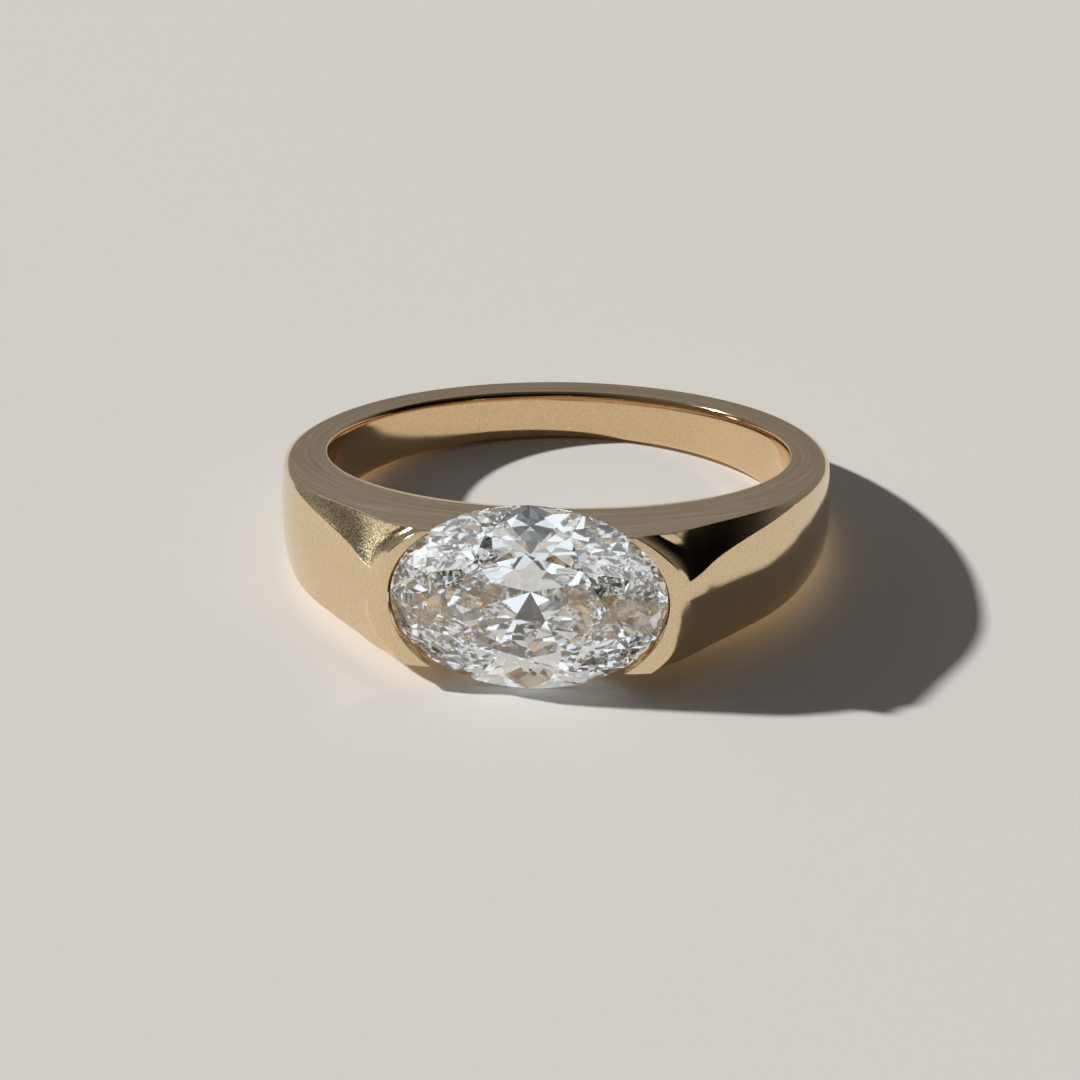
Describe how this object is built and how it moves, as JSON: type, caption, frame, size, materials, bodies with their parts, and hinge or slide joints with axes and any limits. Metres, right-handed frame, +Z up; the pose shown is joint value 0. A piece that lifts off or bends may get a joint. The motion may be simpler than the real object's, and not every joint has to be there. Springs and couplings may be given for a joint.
{
  "type": "east west ring",
  "caption": "Polished yellow gold finger ring, tapered, with scooped shoulders and half bezels that hold a clear oval brilliant lengthwise round the finger; it lies on its side.",
  "frame": {"origin": "on the resting surface, under the middle of the ring's bounding box, with the ring lying on its side", "axes": "+Z up from the surface, -Y towards the head and its stone, +Y towards the back of the band, +X to the right as the stone is seen from the front"},
  "size_m": [0.0202, 0.0234, 0.0066],
  "materials": {
    "gold": "polished yellow gold, softly worn",
    "stone": "clear, colourless, brilliant cut with polished facets"
  },
  "bodies": {
    "root": {"band": "gold", "oval_stone": "stone"}
  },
  "joints": []
}
